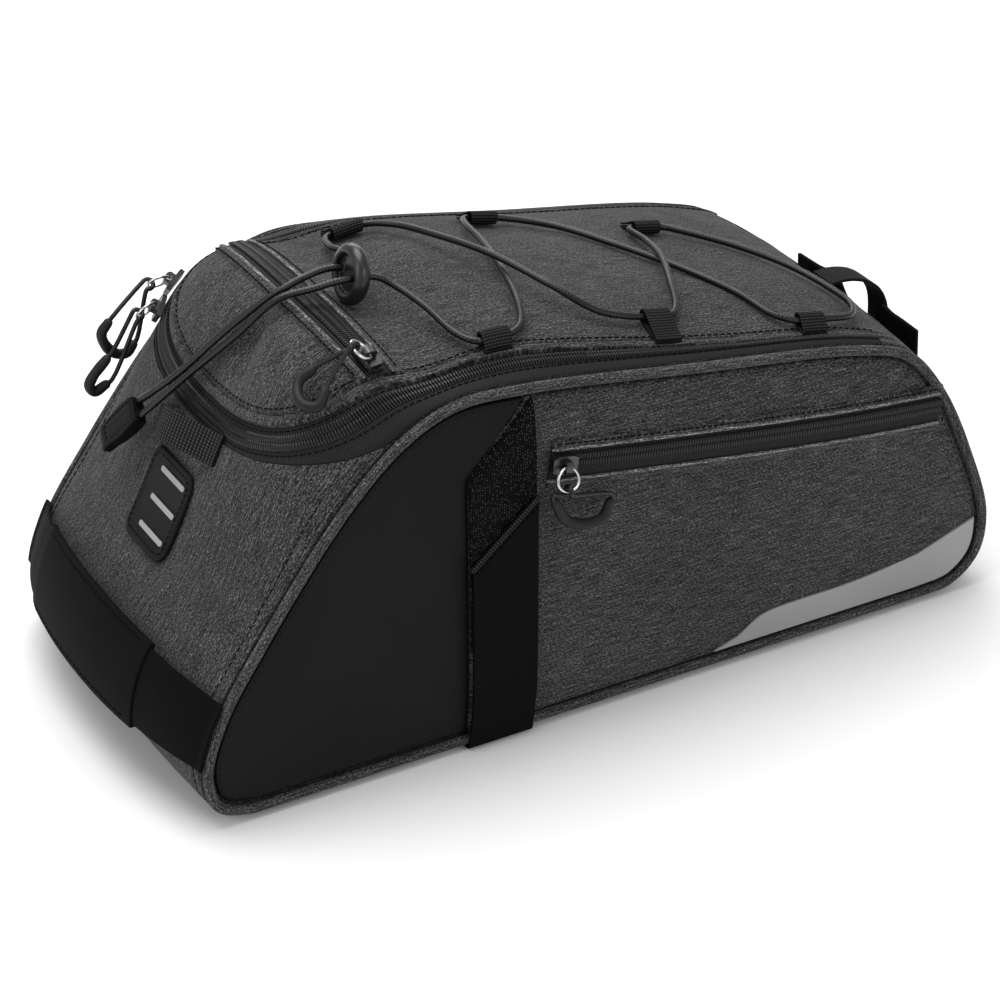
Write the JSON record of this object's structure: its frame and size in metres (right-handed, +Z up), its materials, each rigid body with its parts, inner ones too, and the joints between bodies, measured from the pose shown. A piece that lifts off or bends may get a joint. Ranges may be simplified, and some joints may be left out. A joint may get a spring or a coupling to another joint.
{
  "type": "bicycle trunk bag",
  "caption": "Padded bicycle trunk bag with a zipped lid, bungee lacing and cord lock, side and lid zip pockets, carry strap and straps for a rack and seatpost.",
  "frame": {"origin": "on the ground under the middle of the bag", "axes": "+X from the sloped tail end to the saddle end, +Y from the near side (with the reflective patch) to the far side, +Z up"},
  "size_m": [0.385, 0.1902, 0.1909],
  "materials": {
    "heather_cloth": "matte woven heather",
    "black_pu": "matte smooth coated",
    "black_webbing": "matte ribbed webbing",
    "zip_black": "matte woven tape",
    "black_rubber": "satin",
    "gloss_plastic": "glossy",
    "nickel": "polished",
    "reflective_grey": "satin coated"
  },
  "bodies": {
    "root": {"body_shell": "heather_cloth", "bungee_cord": "black_rubber", "bungee_pull_end": "black_pu", "cord_lock": "gloss_plastic", "handle_webbing_far": "black_webbing", "handle_webbing_near": "black_webbing", "hook_strap_far": "black_webbing", "hook_strap_near": "black_webbing", "lacing_loop_far_1": "black_webbing", "lacing_loop_far_2": "black_webbing", "lacing_loop_far_3": "black_webbing", "lacing_loop_near_1": "black_webbing", "lacing_loop_near_2": "black_webbing", "lacing_loop_near_3": "black_webbing", "lid": "heather_cloth", "lid_pocket_bail": "nickel", "lid_pocket_coil": "zip_black", "lid_pocket_cord": "black_rubber", "lid_pocket_sleeve": "black_rubber", "lid_pocket_slider": "nickel", "lid_pocket_tape": "zip_black", "lid_pocket_welt_saddle": "heather_cloth", "lid_pocket_welt_tail": "heather_cloth", "light_loop": "black_webbing", "light_loop_tongue": "heather_cloth", "main_zip_1_bail": "nickel", "main_zip_1_cord": "black_rubber", "main_zip_1_sleeve": "black_rubber", "main_zip_1_slider": "nickel", "main_zip_2_bail": "nickel", "main_zip_2_cord": "black_rubber", "main_zip_2_sleeve": "black_rubber", "main_zip_2_slider": "nickel", "main_zip_coil": "zip_black", "main_zip_tape": "zip_black", "piping_far": "heather_cloth", "piping_near": "heather_cloth", "pu_panel_far": "black_pu", "pu_panel_near": "black_pu", "rack_strap": "black_webbing", "reflective_bar_1": "reflective_grey", "reflective_bar_2": "reflective_grey", "reflective_bar_3": "reflective_grey", "reflective_patch_near": "reflective_grey", "saddle_loop": "black_webbing", "seatpost_strap": "black_webbing", "side_cloth_far": "heather_cloth", "side_cloth_near": "heather_cloth", "side_pocket_bail": "nickel", "side_pocket_coil": "zip_black", "side_pocket_cord": "black_rubber", "side_pocket_sleeve": "black_rubber", "side_pocket_slider": "nickel", "side_pocket_tape": "zip_black", "side_pocket_welt_lower": "heather_cloth", "side_pocket_welt_upper": "heather_cloth", "tail_handle": "black_pu", "tail_patch": "black_pu"}
  },
  "joints": []
}
